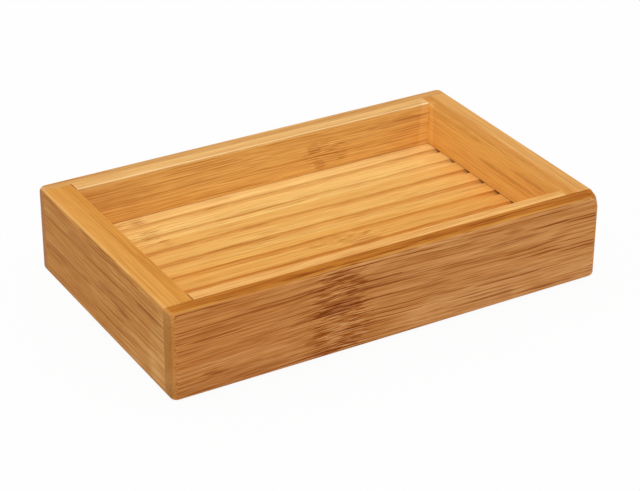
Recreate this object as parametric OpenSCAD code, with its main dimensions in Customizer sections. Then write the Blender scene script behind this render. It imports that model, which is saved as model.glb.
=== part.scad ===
// Bamboo soap dish: a shallow box of two-ply bamboo walls round a grooved floor.
// The long walls' outer plies lap over the ends of the end walls in a glued rabbet joint.
// The floor is four strips glued edge to edge, held all round in a dado in the walls.
// Units are millimetres. The dish stands on z = 0, centred on x = 0 and y = 0,
// with its length along x and its front at negative y.

/* [Dish] */
// Length of the dish, end to end
dish_length = 130; // [100:1:180]
// Width of the dish, front to back
dish_width = 80; // [60:1:120]
// Height of the dish, table to rim
dish_height = 25.5; // [22:0.5:40]

/* [Front and back walls] */
// Thickness of the outer ply, which runs the full length and laps over the end walls
long_outer_ply = 4; // [3.2:0.1:6]
// Thickness of the inner ply, which stops at the end walls
long_inner_ply = 3.7; // [3:0.1:6]

/* [End walls] */
// Thickness of the outer ply of each end wall
end_outer_ply = 5.2; // [3.2:0.1:8]
// Thickness of the inner ply of each end wall
end_inner_ply = 3.3; // [3:0.1:6]

/* [Floor] */
// Height of the rib tops above the table
rib_top = 12.2; // [8:0.1:16]
// Thickness of the floor strips
floor_thickness = 5; // [3.5:0.1:6]
// Depth of the dado that the floor's edge sits in
dado_depth = 2; // [1:0.1:2.5]

/* [Drain grooves] */
// Distance from one groove to the next
groove_pitch = 7.7; // [5:0.1:12]
// Width of a groove across its top
groove_width = 2.8; // [1:0.1:4]
// Depth of a groove at the middle of its round bottom
groove_depth = 1.2; // [0.5:0.1:2.5]
// Least width of the plain rib left along the front wall and along the back wall
edge_rib = 3; // [1:0.5:8]

/* [Sanded edges] */
// Radius of the outer top and bottom edges
outer_edge_radius = 1.5; // [0.5:0.1:2.2]
// Radius of the four upright corners
corner_radius = 2; // [1:0.1:3]
// Radius of the eased inner edge of the rim
rim_edge_radius = 0.6; // [0.2:0.1:1]

/* [Fits] */
// Gap between the rib tops and the upper side of the dado
dado_top_gap = 0.1; // [0.05:0.05:0.3]
// Gap between the floor's edge and the bottom of the dado
dado_end_gap = 0.2; // [0.1:0.05:0.4]

/* [Hidden] */
// Facets of a full circle
$fn = 64;
// Cuts run this far past the faces that they open
overrun = 1;

// Strips in the floor, from the front to the back
strip_count = 4;

// Full wall thicknesses, and the well that the walls leave between them
long_wall = long_outer_ply + long_inner_ply;
end_wall = end_outer_ply + end_inner_ply;
well_length = dish_length - 2 * end_wall;
well_width = dish_width - 2 * long_wall;

// The end walls fit between the outer plies of the front and back walls
end_wall_length = dish_width - 2 * long_outer_ply;

// The floor's edges reach into the dado, short of its bottom
tongue = dado_depth - dado_end_gap;
floor_length = well_length + 2 * tongue;
floor_width = well_width + 2 * tongue;
floor_underside = rib_top - floor_thickness;
strip_width = floor_width / strip_count;

// As many grooves as the well holds with a plain rib along each long wall
groove_gaps = floor((well_width - groove_width - 2 * edge_rib) / groove_pitch);
groove_places = [for (i = [0 : groove_gaps]) (i - groove_gaps / 2) * groove_pitch];

// A groove is one arc across, or, where it is deeper than half its width, a half circle
// below upright sides
groove_half = groove_width / 2;
arc_radius = (groove_half * groove_half + groove_depth * groove_depth) / (2 * groove_depth);
groove_radius = groove_depth < groove_half ? arc_radius : groove_half;

// The dado is as tall as the floor is thick, with the gap above it
dado_height = floor_thickness + dado_top_gap;

// Section across the whole dish, with its four edges sanded round; x is across, y is up
module sanded_section(width) {
    inset = width / 2 - outer_edge_radius;
    translate([-inset, 0]) square([2 * inset, dish_height]);
    translate([-width / 2, outer_edge_radius]) square([width, dish_height - 2 * outer_edge_radius]);
    for (x = [-inset, inset], y = [outer_edge_radius, dish_height - outer_edge_radius])
        translate([x, y]) circle(outer_edge_radius);
}

// Right half of a round post of the dish's height, with the same sanded edges
module corner_section() {
    intersection() {
        sanded_section(2 * corner_radius);
        square([corner_radius, dish_height]);
    }
}

// Outside of the glued-up dish after sanding
module sanded_outside() {
    straight_x = dish_length - 2 * corner_radius;
    straight_y = dish_width - 2 * corner_radius;
    rotate([90, 0, 90]) linear_extrude(straight_x, center = true) sanded_section(dish_width);
    rotate([90, 0, 0]) linear_extrude(straight_y, center = true) sanded_section(dish_length);
    for (turn = [0 : 3]) {
        right = turn == 0 || turn == 3 ? 1 : -1;
        back = turn < 2 ? 1 : -1;
        translate([right * straight_x / 2, back * straight_y / 2, 0])
            rotate(turn * 90) rotate_extrude(angle = 90) corner_section();
    }
}

// Section of the sliver that sanding takes off the rim's inner edge, which is at x = 0, y = 0;
// the wall is at positive x
module easing_section() {
    difference() {
        translate([-overrun, -rim_edge_radius])
            square([rim_edge_radius + overrun, rim_edge_radius + overrun]);
        translate([rim_edge_radius, -rim_edge_radius]) circle(rim_edge_radius);
        translate([-overrun, -2 * rim_edge_radius])
            square([rim_edge_radius + overrun, rim_edge_radius]);
    }
}

// Material that easing takes off the rim round the well
module rim_easing() {
    for (side = [0, 180]) rotate(side) {
        translate([0, well_width / 2, dish_height]) rotate([90, 0, 90])
            linear_extrude(well_length + 2 * rim_edge_radius, center = true) easing_section();
        translate([well_length / 2, 0, dish_height]) rotate([90, 0, 0])
            linear_extrude(well_width + 2 * rim_edge_radius, center = true) easing_section();
    }
}

// Space that the dado opens into all four walls, at the height of the floor
module dado() {
    translate([-well_length / 2 - dado_depth, -well_width / 2 - dado_depth, floor_underside])
        cube([well_length + 2 * dado_depth, well_width + 2 * dado_depth, dado_height]);
}

// Outer ply of the back wall: full length, sanded round, its ends showing at the dish's ends
module long_outer() {
    intersection() {
        sanded_outside();
        translate([-dish_length / 2, dish_width / 2 - long_outer_ply, 0])
            cube([dish_length, long_outer_ply, dish_height]);
    }
}

// Inner ply of the back wall: fits between the end walls and carries the floor's edge
module long_inner() {
    difference() {
        translate([-well_length / 2, well_width / 2, 0])
            cube([well_length, long_inner_ply, dish_height]);
        rim_easing();
        dado();
    }
}

// Outer ply of the right end wall: fits between the long walls' outer plies
module end_outer() {
    intersection() {
        sanded_outside();
        translate([dish_length / 2 - end_outer_ply, -end_wall_length / 2, 0])
            cube([end_outer_ply, end_wall_length, dish_height]);
    }
}

// Inner ply of the right end wall: carries the floor's end
module end_inner() {
    difference() {
        translate([well_length / 2, -end_wall_length / 2, 0])
            cube([end_inner_ply, end_wall_length, dish_height]);
        rim_easing();
        dado();
    }
}

// A drain groove with a round bottom, cut along the floor's whole length and centred on y = 0
module groove() {
    translate([0, 0, rib_top - groove_depth + groove_radius]) rotate([90, 0, 90])
        linear_extrude(floor_length + 2 * overrun, center = true) {
            circle(groove_radius);
            translate([-groove_half, 0]) square([groove_width, groove_depth + overrun]);
        }
}

// One of the floor's strips, counted from 1 at the front
module floor_strip(number) {
    front = (number - 1) * strip_width - floor_width / 2;
    difference() {
        translate([-floor_length / 2, front, floor_underside])
            cube([floor_length, strip_width, floor_thickness]);
        for (y = groove_places) translate([0, y, 0]) groove();
    }
}

module front_wall_outer_ply() { color("#b87838") mirror([0, 1, 0]) long_outer(); }
module front_wall_inner_ply() { color("#edb468") mirror([0, 1, 0]) long_inner(); }
module back_wall_outer_ply() { color("#cf9554") long_outer(); }
module back_wall_inner_ply() { color("#e0a35a") long_inner(); }
module left_end_outer_ply() { color("#c08446") mirror([1, 0, 0]) end_outer(); }
module left_end_inner_ply() { color("#d6923f") mirror([1, 0, 0]) end_inner(); }
module right_end_outer_ply() { color("#d99c58") end_outer(); }
module right_end_inner_ply() { color("#dd9542") end_inner(); }
module floor_strip_1() { color("#e8aa5a") floor_strip(1); }
module floor_strip_2() { color("#ecb064") floor_strip(2); }
module floor_strip_3() { color("#f3ba6c") floor_strip(3); }
module floor_strip_4() { color("#f7c070") floor_strip(4); }

front_wall_outer_ply();
front_wall_inner_ply();
back_wall_outer_ply();
back_wall_inner_ply();
left_end_outer_ply();
left_end_inner_ply();
right_end_outer_ply();
right_end_inner_ply();
floor_strip_1();
floor_strip_2();
floor_strip_3();
floor_strip_4();
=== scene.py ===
import math

import bmesh
import bpy
from mathutils import Matrix, Vector


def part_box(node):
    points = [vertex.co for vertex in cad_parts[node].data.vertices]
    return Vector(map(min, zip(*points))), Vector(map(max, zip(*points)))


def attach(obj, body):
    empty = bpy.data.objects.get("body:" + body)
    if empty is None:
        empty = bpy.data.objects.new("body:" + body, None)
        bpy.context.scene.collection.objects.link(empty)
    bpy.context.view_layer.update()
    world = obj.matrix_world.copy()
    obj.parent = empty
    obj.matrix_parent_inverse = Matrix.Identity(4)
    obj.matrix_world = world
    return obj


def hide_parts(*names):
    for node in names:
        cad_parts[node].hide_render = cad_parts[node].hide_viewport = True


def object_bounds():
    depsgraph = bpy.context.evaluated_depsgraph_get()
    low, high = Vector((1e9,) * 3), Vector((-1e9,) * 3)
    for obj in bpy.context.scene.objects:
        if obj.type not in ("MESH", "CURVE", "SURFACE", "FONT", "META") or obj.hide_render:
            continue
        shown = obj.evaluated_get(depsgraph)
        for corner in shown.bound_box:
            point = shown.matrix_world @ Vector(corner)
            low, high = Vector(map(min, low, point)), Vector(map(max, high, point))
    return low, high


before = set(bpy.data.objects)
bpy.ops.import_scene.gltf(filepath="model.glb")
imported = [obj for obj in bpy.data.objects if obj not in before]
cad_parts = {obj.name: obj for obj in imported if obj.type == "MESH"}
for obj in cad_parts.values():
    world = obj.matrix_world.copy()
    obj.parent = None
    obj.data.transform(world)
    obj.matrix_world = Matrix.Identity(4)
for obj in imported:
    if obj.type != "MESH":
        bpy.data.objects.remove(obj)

cad_low, cad_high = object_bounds()

# Sizes are in metres, and MM turns millimetres into them
MM = 0.001

# Axes by number, and the planes square to them
X, Y = 0, 1
ACROSS_X = (1, 0, 0)
ACROSS_Y = (0, 1, 0)
ACROSS_Z = (0, 0, 1)

# Sanding of the glued-up dish
OUTER_EDGE_RADIUS = 1.5 * MM
CORNER_RADIUS = 2 * MM
RIM_EDGE_RADIUS = 0.6 * MM
OUTER_SEGMENTS = 6
RIM_SEGMENTS = 4

# The front's top right corner is rubbed rounder: its tip moves by RUB, and all within RUB_REACH
# follows, over faces that are cut at these shares of the reach
RUB = Vector((-0.5 * MM, 0.25 * MM, -0.5 * MM))
RUB_REACH = 4 * MM
RUB_CUTS = (0.65, 1)

# Fine easing of every other edge, which shows as a glue line where two strips meet
JOINT_EASE = 0.08 * MM

# Dado in the walls that holds the floor's edge
DADO_DEPTH = 2 * MM
DADO_TOP_GAP = 0.1 * MM

# Drain grooves in the floor, each an arc across, with eased crests
RIB_TOP = 12.2 * MM
GROOVE_PITCH = 7.7 * MM
GROOVE_COUNT = 8
GROOVE_WIDTH = 2.8 * MM
GROOVE_DEPTH = 1.2 * MM
GROOVE_SEGMENTS = 8
GROOVE_RADIUS = (GROOVE_WIDTH ** 2 / 4 + GROOVE_DEPTH ** 2) / (2 * GROOVE_DEPTH)
CREST_EASE = 0.25 * MM
CREST_SEGMENTS = 3

# The cutter wandered a little on its way along each groove, over faces this long
WANDER = 0.7 * MM
WANDER_LENGTH = 16 * MM
FACE_LENGTH = 2 * MM

# Two places closer than this are one
SAME_PLACE = 0.01 * MM

# Edges that turn by more than the first are square; those that turn by less than the second
# are shaded smooth
SQUARE_EDGE = math.radians(60)
SMOOTH_EDGE = math.radians(35)


# Modelling tools

def select_only(piece):
    """Makes piece the only selected and the active object."""
    bpy.ops.object.select_all(action="DESELECT")
    piece.select_set(True)
    bpy.context.view_layer.objects.active = piece


def enter_edit(piece):
    """Opens the piece in edit mode with nothing selected."""
    select_only(piece)
    bpy.ops.object.mode_set(mode="EDIT")
    bpy.ops.mesh.select_all(action="DESELECT")


def leave_edit():
    bpy.ops.object.mode_set(mode="OBJECT")


def near(value, target):
    return abs(value - target) < SAME_PLACE


def select_edges(piece, wanted):
    """Selects the edges whose two ends pass wanted(a, b). The piece is in edit mode."""
    bpy.ops.mesh.select_mode(type="EDGE")
    bpy.ops.mesh.select_all(action="DESELECT")
    mesh = bmesh.from_edit_mesh(piece.data)
    for edge in mesh.edges:
        a, b = edge.verts
        if wanted(a.co, b.co):
            edge.select_set(True)
    bmesh.update_edit_mesh(piece.data)


def divide(place, across):
    """Cuts new edges into the faces along a plane. The piece is in edit mode."""
    bpy.ops.mesh.select_all(action="SELECT")
    bpy.ops.mesh.bisect(plane_co=place, plane_no=across)


def block(low, high):
    """A square-edged block between two corners."""
    bpy.ops.object.select_all(action="DESELECT")
    bpy.ops.mesh.primitive_cube_add(size=1, location=(low + high) / 2, scale=high - low)
    bpy.ops.object.transform_apply(location=True, rotation=True, scale=True)
    return bpy.context.active_object


def bar(name, node):
    """A square-edged bar of bamboo that fills the box of a CAD node."""
    low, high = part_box(node)
    piece = block(low, high)
    piece.name = name
    piece.data.name = name
    return piece, low, high


def round_edges(piece, wanted, radius, segments):
    """Rounds the edges whose two ends pass wanted(a, b)."""
    enter_edit(piece)
    select_edges(piece, wanted)
    bpy.ops.mesh.bevel(offset=radius, offset_type="OFFSET", segments=segments, profile=0.5)
    leave_edit()


def ease_joints(piece):
    """Takes the finest edge off all that is still square."""
    enter_edit(piece)
    bpy.ops.mesh.select_mode(type="EDGE")
    bpy.ops.mesh.edges_select_sharp(sharpness=SQUARE_EDGE)
    bpy.ops.mesh.bevel(offset=JOINT_EASE, offset_type="OFFSET", segments=1, profile=0.5)
    leave_edit()


def rub_corner(piece, corner):
    """Rubs the top right corner of the piece rounder, over short faces that are cut round it."""
    enter_edit(piece)
    bpy.ops.mesh.select_mode(type="VERT")
    for across in (ACROSS_X, ACROSS_Z):
        for share in RUB_CUTS:
            divide(corner - Vector(across) * RUB_REACH * share, across)
    bpy.ops.mesh.select_all(action="DESELECT")
    mesh = bmesh.from_edit_mesh(piece.data)
    tip = min(mesh.verts, key=lambda point: (point.co - corner).length)
    tip.select_set(True)
    bmesh.update_edit_mesh(piece.data)
    bpy.ops.transform.translate(value=RUB, use_proportional_edit=True,
                                proportional_edit_falloff="SMOOTH", proportional_size=RUB_REACH)
    leave_edit()


def cut_away(piece, low, high):
    """Cuts the block between two corners out of the piece."""
    cutter = block(low, high)
    boolean = piece.modifiers.new("dado", "BOOLEAN")
    boolean.operation = "DIFFERENCE"
    boolean.solver = "EXACT"
    boolean.object = cutter
    apply_modifiers(piece)
    bpy.data.objects.remove(cutter)


def apply_modifiers(piece):
    select_only(piece)
    for modifier in list(piece.modifiers):
        bpy.ops.object.modifier_apply(modifier=modifier.name)


def finish_piece(piece, node, material):
    """Smooth shading, material, and the piece's place in the frame."""
    select_only(piece)
    bpy.ops.object.shade_smooth_by_angle(angle=SMOOTH_EDGE)
    piece.modifiers.new("flat faces stay flat", "WEIGHTED_NORMAL").keep_sharp = True
    apply_modifiers(piece)
    piece.data.materials.clear()
    piece.data.materials.append(material)
    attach(piece, "root")
    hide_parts(node)


# Pieces

def long_outer_strip(name, node, material):
    """Outer ply of the front or back wall: rounded at its outer edges, ends and corners."""
    piece, low, high = bar(name, node)
    outside, glued = (low.y, high.y) if low.y < 0 else (high.y, low.y)
    round_edges(piece, lambda a, b: near(a.y, outside) and near(b.y, outside)
                and near(a.x, b.x), CORNER_RADIUS, OUTER_SEGMENTS)
    round_edges(piece, lambda a, b: near(a.z, b.z) and not (near(a.y, glued) and near(b.y, glued)),
                OUTER_EDGE_RADIUS, OUTER_SEGMENTS)
    ease_joints(piece)
    if outside < 0:
        rub_corner(piece, Vector((high.x, low.y, high.z)))
    finish_piece(piece, node, material)


def end_outer_strip(name, node, material):
    """Outer ply of an end wall: rounded along its top and bottom outer edges."""
    piece, low, high = bar(name, node)
    outside = low.x if low.x < 0 else high.x
    round_edges(piece, lambda a, b: near(a.x, outside) and near(b.x, outside) and near(a.z, b.z),
                OUTER_EDGE_RADIUS, OUTER_SEGMENTS)
    ease_joints(piece)
    finish_piece(piece, node, material)


def inner_strip(name, node, material, across):
    """Inner ply of a wall, which is thin along across: its rim is eased, and a dado runs in it."""
    piece, low, high = bar(name, node)
    well_side = high[across] if high[across] < 0 else low[across]
    cut_away(piece, *dado_space())
    round_edges(piece, lambda a, b: near(a[across], well_side) and near(b[across], well_side)
                and near(a.z, high.z) and near(b.z, high.z), RIM_EDGE_RADIUS, RIM_SEGMENTS)
    ease_joints(piece)
    finish_piece(piece, node, material)


def dado_space():
    """Corners of the space that the dado opens into all four walls."""
    well_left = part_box("left_end_inner_ply")[1].x
    well_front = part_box("front_wall_inner_ply")[1].y
    floor_low, floor_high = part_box("floor_strip_1")
    reach_x = DADO_DEPTH - well_left
    reach_y = DADO_DEPTH - well_front
    return (Vector((-reach_x, -reach_y, floor_low.z)),
            Vector((reach_x, reach_y, floor_high.z + DADO_TOP_GAP)))


def groove_section():
    """Points across a groove, from edge to edge, as (distance from its middle, depth)."""
    steepest = math.asin(GROOVE_WIDTH / 2 / GROOVE_RADIUS)
    turns = [steepest * (2 * i / GROOVE_SEGMENTS - 1) for i in range(GROOVE_SEGMENTS + 1)]
    rim = GROOVE_RADIUS * math.cos(steepest)
    return [(GROOVE_RADIUS * math.sin(turn), GROOVE_RADIUS * math.cos(turn) - rim)
            for turn in turns]


def floor_slat(name, node, material):
    """One strip of the floor, with its round-bottomed drain grooves."""
    piece, low, high = bar(name, node)
    grooves = [(i - (GROOVE_COUNT - 1) / 2) * GROOVE_PITCH for i in range(GROOVE_COUNT)]
    grooves = [y for y in grooves if low.y < y < high.y]
    lines = [(y + aside, depth) for y in grooves for aside, depth in groove_section()]
    enter_edit(piece)
    for line, _ in lines:
        divide((0, line, 0), ACROSS_Y)
    for line, depth in lines:
        select_edges(piece, lambda a, b: near(a.y, line) and near(b.y, line)
                     and near(a.z, high.z) and near(b.z, high.z))
        bpy.ops.transform.translate(value=(0, 0, -depth))
    leave_edit()
    crests = [y + side * GROOVE_WIDTH / 2 for y in grooves for side in (-1, 1)]
    round_edges(piece, lambda a, b: near(a.z, high.z) and near(b.z, high.z)
                and any(near(a.y, y) and near(b.y, y) for y in crests),
                CREST_EASE, CREST_SEGMENTS)
    ease_joints(piece)
    cut_into_lengths(piece, low, high)
    wander_along_grooves(piece, low, high)
    finish_piece(piece, node, material)


def cut_into_lengths(piece, low, high):
    """Divides a floor strip into short faces, so that its grooves can wander."""
    count = round((high.x - low.x) / FACE_LENGTH)
    enter_edit(piece)
    for i in range(1, count):
        divide((low.x + (high.x - low.x) * i / count, 0, 0), ACROSS_X)
    leave_edit()


def wander_along_grooves(piece, low, high):
    """Moves the grooves a little from side to side, as the cutter did. The glued sides stay."""
    groove_bottom = high.z - GROOVE_DEPTH - JOINT_EASE
    margin = 2 * JOINT_EASE
    enter_edit(piece)
    bpy.ops.mesh.select_mode(type="VERT")
    mesh = bmesh.from_edit_mesh(piece.data)
    for point in mesh.verts:
        if point.co.z > groove_bottom and low.y + margin < point.co.y < high.y - margin:
            point.select_set(True)
    bmesh.update_edit_mesh(piece.data)
    bpy.ops.object.vertex_group_assign_new()
    leave_edit()
    texture = bpy.data.textures.new("cutter wander", "CLOUDS")
    texture.noise_scale = WANDER_LENGTH
    texture.noise_depth = 1
    wander = piece.modifiers.new("cutter wander", "DISPLACE")
    wander.texture = texture
    wander.texture_coords = "LOCAL"
    wander.direction = "Y"
    wander.strength = WANDER
    wander.vertex_group = piece.vertex_groups[-1].name
    apply_modifiers(piece)
    piece.vertex_groups.clear()


# Patterns in the wood. Each is shifted by its own amount, so that no two line up, and has its
# features per millimetre along and across the fibres. Streaks rise from 0 to 1 as their noise
# goes from low to high. Bundles fade from core to edge, in shares of their spacing.
DRIFT = dict(shift=0, along=0.02, across=0.05, detail=3)
THROW = dict(shift=5, along=0.15, across=0.4, detail=1)
RAGGED_EDGE = dict(shift=11, along=0.18, across=1.4, detail=2)
DASHES = dict(shift=6, along=0.2, across=3.3, detail=1)
BANDS = dict(shift=1, along=0.018, across=0.4, detail=1.5, low=0.33, high=0.67)
FIBRES = dict(shift=2, along=0.022, across=2.6, detail=2.5, low=0.32, high=0.68)
PORES = dict(shift=8, along=0.14, across=3.6, detail=1, low=0.3, high=0.7)
BUSY_PARTS = dict(shift=3, along=0.02, across=0.16, detail=1, low=0.2, high=0.42)
WEAR_AND_HIGHLIGHT_PATCHES = dict(shift=9, along=0.08, across=0.3, detail=2, low=0.15, high=0.5)
COARSE_BUNDLES = dict(shift=4, along=0.014, across=1.6, core=0.19, edge=0.33)
FINE_BUNDLES = dict(shift=10, along=0.02, across=2.5, core=0.22, edge=0.4)

# Middle value of a noise's colour, and the millimetres over which it moves the fibres aside
NOISE_MIDDLE = (0.5, 0.5, 0.5)
DRIFT_REACH = (0, 2.2, 2.2)
THROW_REACH = (0, 0.3, 0.3)

# Shares of the three patterns in the soft streaks, and strengths of the bundles
BAND_SHARE = 0.2
FIBRE_SHARE = 0.5
PORE_SHARE = 0.3
FAINTEST_BUNDLE = 0.3
FINE_BUNDLE_STRENGTH = 0.85

# Noise values where the dark and the pale dashes of a knot start and are full
DARK_DASHES = (0.5, 0.57)
PALE_DASHES = (0.42, 0.34)

# Where the edge of a knot or spot fades, and the width over which it strays, in shares of
# its reach
SPOT_FADE = (0.75, 1.15)
RAGGEDNESS = 1.5

# Where a look starts and where it is full, by how far a face's normal points along the fibres
# or up and down, from 0 to 1
END_GRAIN = (0.7, 0.82)
TURNING_TO_END = (0.2, 0.6)
TURNING_TO_TOP = (0.5, 0.72)
LEVEL_TOP = (0.86, 0.99)
GROOVE_SIDE = (1, 0.3)

# The colour of the narrow faces comes in over this much of the same
NARROW_FACE_RISE = 0.25

# Share of the grain that is lost on the rounded ends, and on sanded edges under their painted
# highlight
LOST_AT_ENDS = 0.6
LOST_UNDER_WEAR_AND_HIGHLIGHT = 0.7

# Painted shade in the grooves starts at the first of these depths below the rib tops and is full
# at the second, in millimetres; level wood has this share of it
GROOVE_SHADE_DEPTHS = (0.05, 0.3)
GROOVE_SHADE_ON_LEVEL = 0.25

# Tints, which multiply the wood's own colour
DARK_STREAK = (0.68, 0.48, 0.27, 1)
PALE_STREAK = (1.24, 1.48, 1.97, 1)
BUNDLE = (0.42, 0.2, 0.06, 1)
DARK_DASH = (0.62, 0.42, 0.24, 1)
PALE_DASH = (1.16, 1.3, 1.58, 1)
DARK_SPOT = (0.67, 0.52, 0.46, 1)
# Pale spots, and painted light: a highlight on the front's top edge and a pool of light on the back
# floor rib
PALE_SPOT_AND_LIGHT = (1.1, 1.2, 1.37, 1)
# Painted shade in the grooves
GROOVE_SHADE_TINT = (0.72, 0.56, 0.37, 1)
# Sanded edges, lighter and with a painted highlight
WEAR_AND_HIGHLIGHT_TINT = (1.2, 1.45, 2.2, 1)
# The front's wide face grows darker towards its left end
FRONT_DARKENING = (0.93, 0.84, 0.7, 1)

# Surface: fibres make it rougher, and wear makes it smoother. Bundles, fibres and dashes are
# sunk by their shares of the relief.
ROUGHNESS = 0.46
FIBRE_ROUGHNESS = 0.1
WORN_SMOOTHNESS = 0.08
SPECULAR = 0.02
RELIEF = 0.012 * MM
BUNDLE_RELIEF = 0.6
FIBRE_RELIEF = 0.3
DASH_RELIEF = 0.5


# Materials

def srgb(red, green, blue):
    """Linear colour of an sRGB colour given as 0 to 255."""
    def linear(value):
        share = value / 255
        return share / 12.92 if share <= 0.04045 else ((share + 0.055) / 1.055) ** 2.4
    return (linear(red), linear(green), linear(blue), 1)


class Finish:
    """Short names for the shader nodes of a material or of the world."""

    def __init__(self, owner):
        owner.use_nodes = True
        self.nodes = owner.node_tree.nodes
        self.links = owner.node_tree.links

    def feed(self, node, socket, value):
        """Gives a socket a value, or joins another node's output to it."""
        if isinstance(value, bpy.types.NodeSocket):
            self.links.new(value, node.inputs[socket])
        else:
            node.inputs[socket].default_value = value

    def add(self, kind, sockets, **settings):
        """Adds a node, with what its sockets get by name or number."""
        node = self.nodes.new("ShaderNode" + kind)
        for setting, value in settings.items():
            setattr(node, setting, value)
        for socket, value in sockets.items():
            self.feed(node, socket, value)
        return node

    def maths(self, operation, *values):
        return self.add("Math", dict(enumerate(values)), operation=operation).outputs[0]

    def vector(self, operation, *values):
        return self.add("VectorMath", dict(enumerate(values)), operation=operation).outputs[0]

    def step(self, value, low, high):
        """0 at low, 1 at high, and a smooth rise between them."""
        return self.add("MapRange", {"Value": value, "From Min": low, "From Max": high},
                        interpolation_type="SMOOTHSTEP").outputs[0]

    def fade(self, value, share, loss):
        """The value, less the part of it that is lost where share is 1."""
        return self.maths("MULTIPLY", value, self.maths("MULTIPLY_ADD", share, -loss, 1))

    def stretch(self, point, place, along, across):
        """Draws a pattern out along the fibres and shifts it to its own place."""
        return self.vector("MULTIPLY_ADD", point, (along, across, across), (place, place, place))

    def noise(self, point, seed, shift, along, across, detail, colour=False):
        """Noise drawn out along the fibres, as one value or as a colour."""
        place = self.stretch(point, seed + shift, along, across)
        node = self.add("TexNoise", {"Vector": place, "Scale": 1, "Detail": detail})
        return node.outputs["Color" if colour else 0]

    def streaks(self, point, seed, low, high, **pattern):
        """Streaks along the fibres, 0 between them and 1 on them."""
        return self.step(self.noise(point, seed, **pattern), low, high)

    def bundles(self, point, seed, shift, along, across, core, edge):
        """Separate bundles of fibres, long and thin, some of them strong and some faint."""
        place = self.stretch(point, seed + shift, along, across)
        cells = self.add("TexVoronoi", {"Vector": place, "Scale": 1})
        chance = self.add("SeparateColor", {"Color": cells.outputs["Color"]}).outputs[0]
        strength = self.maths("MULTIPLY_ADD", chance, 1 - FAINTEST_BUNDLE, FAINTEST_BUNDLE)
        inside = self.maths("SUBTRACT", 1, self.step(cells.outputs["Distance"], core, edge))
        return self.maths("MULTIPLY", inside, strength)

    def tint(self, share, colour, other, blend="MULTIPLY"):
        """Lays the other colour over the first one, as far as share says."""
        node = self.add("Mix", {0: share, 6: colour, 7: other}, data_type="RGBA", blend_type=blend)
        return node.outputs[2]


def spot(finish, point, ragged, centre, reach):
    """1 inside an egg-shaped spot with a ragged edge, and 0 outside."""
    place = finish.vector("SUBTRACT", point, centre)
    place = finish.vector("DIVIDE", place, reach)
    node = finish.add("VectorMath", {0: place}, operation="LENGTH")
    edge = finish.maths("ADD", node.outputs["Value"], ragged)
    return finish.maths("SUBTRACT", 1, finish.step(edge, *SPOT_FADE))


def inside_knots(finish, point, ragged, knots):
    """1 inside any of the knots, and 0 outside them all."""
    inside = 0
    for centre, reach in knots:
        inside = finish.maths("MAXIMUM", inside, spot(finish, point, ragged, centre, reach))
    return inside


def fibre_run(finish, point, along, seed, lean):
    """Places as the fibres have them, which run nearly straight."""
    drift = finish.noise(point, seed, colour=True, **DRIFT)
    drift = finish.vector("SUBTRACT", drift, NOISE_MIDDLE)
    run = finish.vector("MULTIPLY_ADD", drift, DRIFT_REACH, point)
    if lean:
        place, slope = lean
        away = finish.maths("ABSOLUTE", finish.maths("SUBTRACT", along, place))
        fall = finish.add("CombineXYZ", {"Z": finish.maths("MULTIPLY", away, slope)}).outputs[0]
        run = finish.vector("ADD", run, fall)
    return run


def thrown_about(finish, point, run, knot, seed):
    """Throws the fibres about inside a knot."""
    throw = finish.noise(point, seed, colour=True, **THROW)
    throw = finish.vector("SUBTRACT", throw, NOISE_MIDDLE)
    thrown = finish.vector("MULTIPLY_ADD", throw, THROW_REACH, run)
    return finish.add("Mix", {0: knot, 4: run, 5: thrown}, data_type="VECTOR").outputs[1]


def grain(finish, run, seed):
    """Fine fibres, soft streaks of colour, and dark bundles of fibres that come and go."""
    bands = finish.streaks(run, seed, **BANDS)
    fibres = finish.streaks(run, seed, **FIBRES)
    pores = finish.streaks(run, seed, **PORES)
    soft = finish.maths("MULTIPLY_ADD", bands, BAND_SHARE,
                        finish.maths("MULTIPLY", fibres, FIBRE_SHARE))
    soft = finish.maths("MULTIPLY_ADD", pores, PORE_SHARE, soft)
    coarse = finish.bundles(run, seed, **COARSE_BUNDLES)
    fine = finish.bundles(run, seed, **FINE_BUNDLES)
    fine = finish.maths("MULTIPLY", fine, FINE_BUNDLE_STRENGTH)
    bundles = finish.maths("MAXIMUM", coarse, fine)
    bundles = finish.maths("MULTIPLY", bundles, finish.streaks(run, seed, **BUSY_PARTS))
    return fibres, soft, bundles


def wear_and_highlight_on_edges(finish, point, facing_up, seed, edge_wear_and_highlight):
    """How much lighter the rounded top and bottom edges are: sanded and handled, and with a painted
    highlight.
    """
    level = finish.step(facing_up, *LEVEL_TOP)
    wear_and_highlight_share = finish.maths("SUBTRACT", finish.step(facing_up, *TURNING_TO_TOP), level)
    patchy = finish.streaks(point, seed, **WEAR_AND_HIGHLIGHT_PATCHES)
    return finish.maths("MULTIPLY", wear_and_highlight_share, finish.maths("MULTIPLY", patchy, edge_wear_and_highlight))


def shade_in_grooves(finish, height, facing_up, groove_shade):
    """Painted shade in the grooves: darkest on their steep sides."""
    start, full = GROOVE_SHADE_DEPTHS
    below = finish.step(height, RIB_TOP / MM - start, RIB_TOP / MM - full)
    steep = finish.step(facing_up, *GROOVE_SIDE)
    steep = finish.maths("MULTIPLY_ADD", steep, 1 - GROOVE_SHADE_ON_LEVEL, GROOVE_SHADE_ON_LEVEL)
    return finish.maths("MULTIPLY", below, finish.maths("MULTIPLY", steep, groove_shade))


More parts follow.
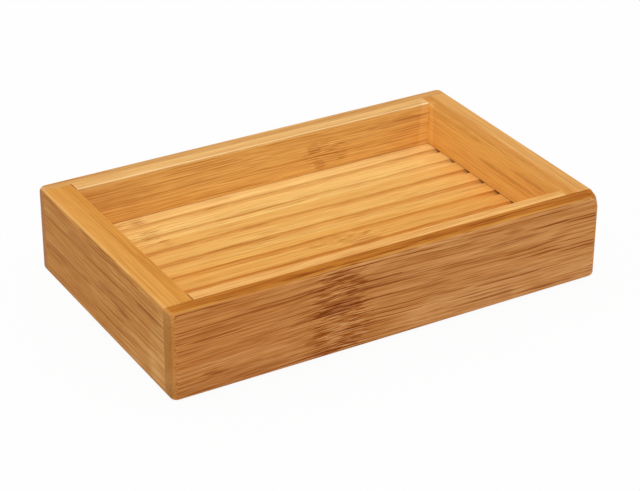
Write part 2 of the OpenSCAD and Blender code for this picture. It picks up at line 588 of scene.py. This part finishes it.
def bamboo(name, broad, edge, end, seed, lines, figure, along_y=False, edge_share=1.0,
           edge_from=0.3, lean=None, darkening=None, knots=(), knot_strength=1.0, dark_spots=(),
           pale_spots_and_light=(), edge_wear_and_highlight=0.5, groove_shade=0):
    """
    Oiled bamboo, solid through the piece, its fibres running along x, or along y.

    broad, edge and end are the colours of the wide faces, the narrow ones and the end grain.
    seed makes each piece's pattern its own.
    lines is the strength of the dark fibre bundles and figure that of the soft streaks;
    edge_share is the share of both that shows on the narrow faces, which start on a rounded
    edge where the upward part of its normal passes edge_from.
    lean is (place, slope): the fibres fall away by that slope on both sides of the place.
    The wide faces can grow darker along the fibres, by (none here, full here, colour), in
    millimetres along the fibres.
    knots and spots are (centre, reach) in millimetres, and a dark spot's third value is its
    strength. Their numbers are x, y, z where the fibres run along x, and y, -x, z where they
    run along y, so that the first is always along the fibres.
    The last two set how much lighter the sanded rounded edges are, with a painted highlight
    on them, and how dark the painted shade in the grooves is.
    """
    material = bpy.data.materials.new(name)
    finish = Finish(material)
    texture = finish.add("TexCoord", {}).outputs
    turn = math.radians(-90) if along_y else 0
    point = finish.add("Mapping", {"Vector": texture["Object"], "Rotation": (0, 0, turn),
                                   "Scale": (1 / MM, 1 / MM, 1 / MM)}).outputs[0]
    places = finish.add("SeparateXYZ", {"Vector": point}).outputs
    along, height = places["X"], places["Z"]
    facing = finish.vector("ABSOLUTE", texture["Normal"])
    sides = finish.add("SeparateXYZ", {"Vector": facing}).outputs
    facing_end, facing_up = sides["Y" if along_y else "X"], sides["Z"]

    # Grain, which is thrown about where there are knots
    ragged = finish.maths("MULTIPLY_ADD", finish.noise(point, seed, **RAGGED_EDGE),
                          RAGGEDNESS, -RAGGEDNESS / 2)
    run = fibre_run(finish, point, along, seed, lean)
    if knots:
        knot = inside_knots(finish, point, ragged, knots)
        run = thrown_about(finish, point, run, knot, seed)
    fibres, soft, bundles = grain(finish, run, seed)

    # Colour by face
    narrow = finish.step(facing_up, edge_from, edge_from + NARROW_FACE_RISE)
    colour = finish.tint(narrow, broad, edge, "MIX")
    colour = finish.tint(finish.step(facing_end, *END_GRAIN), colour, end, "MIX")
    if darkening:
        none_here, full_here, darkening_colour = darkening
        share = finish.add("MapRange", {"Value": along, "From Min": none_here,
                                        "From Max": full_here}).outputs[0]
        share = finish.maths("MULTIPLY", share, finish.maths("SUBTRACT", 1, narrow))
        colour = finish.tint(share, colour, darkening_colour)

    # How much of the grain shows: less on narrow faces, on rounded ends, and on sanded edges under
    # their painted highlight
    shown = finish.maths("MULTIPLY_ADD", narrow, edge_share - 1, 1)
    shown = finish.fade(shown, finish.step(facing_end, *TURNING_TO_END), LOST_AT_ENDS)
    if edge_wear_and_highlight:
        wear_and_highlight_share = wear_and_highlight_on_edges(finish, point, facing_up, seed, edge_wear_and_highlight)
        shown = finish.fade(shown, wear_and_highlight_share, LOST_UNDER_WEAR_AND_HIGHLIGHT)

    # Grain, knots and spots over the colour
    streaks = finish.tint(soft, DARK_STREAK, PALE_STREAK, "MIX")
    colour = finish.tint(finish.maths("MULTIPLY", shown, figure), colour, streaks)
    marked = finish.maths("MULTIPLY", shown, finish.maths("MULTIPLY", bundles, lines))
    colour = finish.tint(marked, colour, BUNDLE)
    depth = finish.maths("MULTIPLY_ADD", bundles, BUNDLE_RELIEF,
                         finish.maths("MULTIPLY", fibres, FIBRE_RELIEF))
    if knots:
        knot = finish.maths("MULTIPLY", knot, knot_strength)
        dashes = finish.noise(run, seed, **DASHES)
        dark = finish.maths("MULTIPLY", finish.step(dashes, *DARK_DASHES), knot)
        pale = finish.maths("MULTIPLY", finish.step(dashes, *PALE_DASHES), knot)
        colour = finish.tint(dark, colour, DARK_DASH)
        colour = finish.tint(pale, colour, PALE_DASH)
        depth = finish.maths("MULTIPLY_ADD", dark, DASH_RELIEF, depth)
    for centre, reach, strength in dark_spots:
        here = spot(finish, point, ragged, centre, reach)
        colour = finish.tint(finish.maths("MULTIPLY", here, strength), colour, DARK_SPOT)
    # Pale spots, some of them painted light
    for centre, reach in pale_spots_and_light:
        colour = finish.tint(spot(finish, point, 0, centre, reach), colour, PALE_SPOT_AND_LIGHT)

    # Painted shade in the grooves, and lighter sanded edges with a painted highlight
    rough = finish.maths("MULTIPLY_ADD", fibres, FIBRE_ROUGHNESS, ROUGHNESS)
    if groove_shade:
        groove_shade_share = shade_in_grooves(finish, height, facing_up, groove_shade)
        # Painted shade on the grooves' steep sides
        colour = finish.tint(groove_shade_share, colour, GROOVE_SHADE_TINT)
    if edge_wear_and_highlight:
        # Painted highlight on the sanded top and bottom edges
        colour = finish.tint(wear_and_highlight_share, colour, WEAR_AND_HIGHLIGHT_TINT)
        rough = finish.maths("MULTIPLY_ADD", wear_and_highlight_share, -WORN_SMOOTHNESS, rough)

    shader = finish.nodes["Principled BSDF"]
    bump = finish.add("Bump", {"Strength": 1, "Distance": RELIEF, "Height": depth}, invert=True)
    finish.feed(shader, "Base Color", colour)
    finish.feed(shader, "Roughness", rough)
    finish.feed(shader, "Normal", bump.outputs[0])
    finish.feed(shader, "Specular IOR Level", SPECULAR)
    return material


def floor_bamboo(number, tone, seed, **marks):
    """Bamboo of a floor strip: one tone all over, and darker in the grooves with painted shade."""
    return bamboo(f"floor bamboo {number}", tone, tone, tone, seed, lines=0.4, figure=0.48,
                  knot_strength=0.7, edge_wear_and_highlight=0, groove_shade=0.45, **marks)


# Knots and spots of each piece, as bamboo takes them; a long middle number takes them right
# through the wood
FRONT_KNOTS = [((-17, -40.6, 12.2), (9, 2.6, 17))]
FRONT_DARK = [((-16, -40, 13.9), (6.2, 30, 2.6), 0.65), ((-16, -40, 22.9), (6, 30, 1.3), 0.45),
              ((-12.2, -40, 20), (2.4, 30, 1.2), 0.35), ((-25.2, -40, 5.3), (2.2, 30, 1.3), 0.3),
              ((-50, -40, 3), (20, 8, 2.6), 0.4),
              ((-46, -38.4, 25.6), (9, 1.2, 0.8), 0.3), ((-29, -38.4, 25.6), (4, 1.2, 0.8), 0.45),
              ((29, -38.4, 25.6), (6, 1, 0.8), 0.35), ((56, -38.4, 25.6), (8, 1, 0.8), 0.3)]
FRONT_PALE = [((-62, -38, 25.5), (20, 2.6, 4)), ((36, -40, 4), (38, 30, 6)),
              ((-50, -40, 3), (25, 8, 7)), ((-15.5, -40, 5), (7, 30, 5)),
              # The last is a painted highlight along the front's top edge
              ((20, -39.9, 25), (52, 0.9, 0.9))]
LEFT_PALE = [((-38, 65, 9), (11, 4, 14)), ((-22, 65, 5), (12, 4, 5))]
LEFT_DARK = [((-9, 65, 24), (15, 4, 0.9), 0.4), ((13, 65, 20), (8, 4, 1.2), 0.4),
             ((-27, 65, 19.3), (8, 4, 0.8), 0.55), ((-27, 65, 22.5), (8, 4, 0.7), 0.35),
             ((-5, 65, 14.2), (9, 4, 1.6), 0.4), ((20, 65, 10.7), (14, 4, 0.6), 0.5)]
BACK_KNOTS = [((22, 32.3, 17.5), (7, 30, 4.2))]
BACK_DARK = [((17.4, 32.3, 19.7), (2.3, 30, 1.9), 0.45), ((19.4, 32.3, 14.2), (1.9, 30, 1.5), 0.45),
             ((25, 32.3, 16), (4, 30, 1.6), 0.15), ((45, 32.3, 21.8), (11, 30, 1.3), 0.4),
             ((-44, 32.3, 20), (12, 30, 3), 0.2)]
RIGHT_DARK = [((-18.5, -56.5, 22), (8, 3, 0.7), 0.5), ((-7, -56.5, 18.6), (14, 3, 0.6), 0.35),
              ((17, -56.5, 24), (13, 3, 1), 0.25)]

# Pale upright band on both sides of the far right inner corner
BACK_CORNER = [((55.6, 32.3, 15), (2.4, 3, 15))]
RIGHT_CORNER = [((31.6, -56.4, 15), (2, 3, 15))]

# Floor strips from the front to the back. Each has its own tone, and the tones grow lighter
# towards the back with painted light.
FLOOR = [
    dict(tone=srgb(241, 170, 79), seed=97),
    dict(tone=srgb(243, 181, 91), seed=110, knots=[((5, -6.2, 12), (12, 3.4, 20))],
         dark_spots=[((0, -8, 12), (70, 3, 20), 0.14), ((9, -9.6, 12), (6, 0.9, 20), 0.35)]),
    dict(tone=srgb(245, 187, 100), seed=123, knots=[((-41, 16.5, 12), (5, 2.4, 20))],
         dark_spots=[((-41, 16.7, 12), (2.6, 1, 20), 0.35)]),
    dict(tone=srgb(254, 206, 121), seed=136,
         knots=[((-41, 22, 12), (5.5, 2, 20)), ((-42, 29.8, 12), (5, 2, 20))],
         dark_spots=[((-40.5, 22.4, 12), (3, 1, 20), 0.35), ((-40, 29.2, 12), (2.6, 1.2, 20), 0.3)],
         # Painted pool of light along the back rib
         pale_spots_and_light=[((0, 32.3, 12.2), (95, 4, 4))]),
]

front_outer = bamboo("front outer bamboo", broad=srgb(219, 149, 80), edge=srgb(191, 114, 36),
                     end=srgb(195, 139, 75), seed=3, lines=1.05, figure=0.85, edge_from=0.5,
                     lean=(-17, 0.02), darkening=(10, -50, FRONT_DARKENING), knots=FRONT_KNOTS,
                     dark_spots=FRONT_DARK, pale_spots_and_light=FRONT_PALE, edge_wear_and_highlight=1)
front_inner = bamboo("front inner bamboo", broad=srgb(227, 161, 92), edge=srgb(243, 180, 98),
                     end=srgb(202, 134, 74), seed=17, lines=0.4, figure=0.7, edge_wear_and_highlight=0.3)
back_outer = bamboo("back outer bamboo", broad=srgb(206, 141, 79), edge=srgb(221, 162, 90),
                    end=srgb(191, 132, 80), seed=29, lines=0.85, figure=0.8, edge_share=0.68)
# The wide face's colour is raised to make up for the light inside the well: painted light
back_inner = bamboo("back inner bamboo", broad=srgb(254, 203, 114), edge=srgb(241, 187, 112),
                    end=srgb(217, 150, 87), seed=41, lines=0.55, figure=0.6, edge_share=0.7,
                    knots=BACK_KNOTS, knot_strength=0.65, dark_spots=BACK_DARK,
                    pale_spots_and_light=BACK_CORNER, edge_wear_and_highlight=1)
left_outer = bamboo("left outer bamboo", broad=srgb(209, 144, 72), edge=srgb(228, 160, 75),
                    end=srgb(180, 116, 55), seed=53, lines=0.75, figure=0.7, along_y=True,
                    edge_share=0.4, edge_from=0.55, dark_spots=LEFT_DARK, pale_spots_and_light=LEFT_PALE,
                    edge_wear_and_highlight=0.7)
left_inner = bamboo("left inner bamboo", broad=srgb(227, 156, 80), edge=srgb(222, 151, 64),
                    end=srgb(191, 121, 54), seed=67, lines=0.4, figure=0.45, along_y=True, edge_wear_and_highlight=0.2)
right_outer = bamboo("right outer bamboo", broad=srgb(206, 140, 70), edge=srgb(232, 170, 93),
                     end=srgb(181, 122, 62), seed=79, lines=0.7, figure=0.65, along_y=True,
                     edge_share=0.6, edge_wear_and_highlight=0.3)
# The wide face's colour is raised well above its top's, to make up for the light inside the well:
# painted light
right_inner = bamboo("right inner bamboo", broad=srgb(252, 198, 104), edge=srgb(221, 151, 70),
                     end=srgb(189, 120, 51), seed=83, lines=0.2, figure=0.45, along_y=True,
                     dark_spots=RIGHT_DARK, pale_spots_and_light=RIGHT_CORNER, edge_wear_and_highlight=0.1)

long_outer_strip("front_outer_strip", "front_wall_outer_ply", front_outer)
long_outer_strip("back_outer_strip", "back_wall_outer_ply", back_outer)
inner_strip("front_inner_strip", "front_wall_inner_ply", front_inner, Y)
inner_strip("back_inner_strip", "back_wall_inner_ply", back_inner, Y)
end_outer_strip("left_outer_strip", "left_end_outer_ply", left_outer)
end_outer_strip("right_outer_strip", "right_end_outer_ply", right_outer)
inner_strip("left_inner_strip", "left_end_inner_ply", left_inner, X)
inner_strip("right_inner_strip", "right_end_inner_ply", right_inner, X)
for number, looks in enumerate(FLOOR, start=1):
    floor_slat(f"floor_slat_{number}", f"floor_strip_{number}", floor_bamboo(number, **looks))


# Table and lights: sizes and places in metres, power in watts
WHITE = (1, 1, 1, 1)
MATT_WHITE = (0.9, 0.9, 0.9, 1)
TABLE_SIZE = 6
TABLE_DROP = 0.05 * MM
TABLE_GLOW = 0.94
WORLD_STRENGTH = 0.62
LAMP_PLACE = (-0.1, 0, 0.9)
LAMP_SIZE = 0.7
LAMP_POWER = 3.2

# The camera looks from the front left and above. Its angles are in degrees, and its lens and
# sensor in millimetres.
CAMERA_AZIMUTH = -30.526
CAMERA_ELEVATION = 28.606
CAMERA_ROLL = 0.387
CAMERA_DISTANCE = 572.245 * MM
CAMERA_SIDEWAYS = 0.429 * MM
CAMERA_UPWARDS = -3.968 * MM
CAMERA_LENS = 117.87
CAMERA_SENSOR = 36
CAMERA_NEAR = 10 * MM
CAMERA_FAR = 10


def seen_directly(finish):
    """1 for what the camera sees itself, in a reflection or through glass, and 0 for light."""
    rays = finish.add("LightPath", {}).outputs
    mirrored = finish.maths("MAXIMUM", rays["Is Camera Ray"], rays["Is Glossy Ray"])
    return finish.maths("MAXIMUM", mirrored, rays["Is Transmission Ray"])


def white_table():
    """White table: it shows as white, and the dish's shadow stays on it."""
    bpy.ops.object.select_all(action="DESELECT")
    bpy.ops.mesh.primitive_plane_add(size=TABLE_SIZE, location=(0, 0, -TABLE_DROP))
    table = bpy.context.active_object
    table.name = "table"
    material = bpy.data.materials.new("white table")
    finish = Finish(material)
    finish.nodes.remove(finish.nodes["Principled BSDF"])
    matt = finish.add("BsdfDiffuse", {"Color": MATT_WHITE})
    glow = finish.add("Emission", {"Color": WHITE})
    share = finish.maths("MULTIPLY", seen_directly(finish), TABLE_GLOW)
    mix = finish.add("MixShader", {0: share, 1: matt.outputs[0], 2: glow.outputs[0]})
    finish.feed(finish.nodes["Material Output"], "Surface", mix.outputs[0])
    table.data.materials.append(material)


def world_light():
    """Even light from all round, which the camera sees as white."""
    world = bpy.data.worlds.new("studio")
    bpy.context.scene.world = world
    finish = Finish(world)
    level = finish.add("MapRange", {"Value": seen_directly(finish), "To Min": WORLD_STRENGTH,
                                    "To Max": 1})
    background = finish.nodes["Background"]
    finish.feed(background, "Color", WHITE)
    finish.feed(background, "Strength", level.outputs[0])


def soft_lamp():
    """A square soft box overhead that points at the dish."""
    light = bpy.data.lights.new("overhead", "AREA")
    light.shape = "SQUARE"
    light.size = LAMP_SIZE
    light.energy = LAMP_POWER
    lamp = bpy.data.objects.new("overhead", light)
    bpy.context.scene.collection.objects.link(lamp)
    lamp.location = LAMP_PLACE
    lamp.rotation_euler = (-Vector(LAMP_PLACE)).to_track_quat("-Z", "Y").to_euler()


def camera():
    """The photograph's viewing angle."""
    azimuth, elevation = math.radians(CAMERA_AZIMUTH), math.radians(CAMERA_ELEVATION)
    back = Vector((math.sin(azimuth) * math.cos(elevation),
                   -math.cos(azimuth) * math.cos(elevation), math.sin(elevation)))
    level = Vector((0, 0, 1)).cross(back).normalized()
    upright = back.cross(level)
    roll = math.radians(CAMERA_ROLL)
    right = math.cos(roll) * level + math.sin(roll) * upright
    up = -math.sin(roll) * level + math.cos(roll) * upright
    data = bpy.data.cameras.new("camera")
    data.lens = CAMERA_LENS
    data.sensor_width = CAMERA_SENSOR
    data.clip_start = CAMERA_NEAR
    data.clip_end = CAMERA_FAR
    eye = bpy.data.objects.new("camera", data)
    bpy.context.scene.collection.objects.link(eye)
    centre = Vector((0, 0, (cad_low.z + cad_high.z) / 2))
    eye.location = centre + back * CAMERA_DISTANCE + right * CAMERA_SIDEWAYS + up * CAMERA_UPWARDS
    eye.rotation_mode = "QUATERNION"
    eye.rotation_quaternion = Matrix((right, up, back)).transposed().to_quaternion()
    bpy.context.scene.camera = eye


white_table()
world_light()
soft_lamp()
camera()

bpy.context.scene.view_settings.view_transform = "Standard"
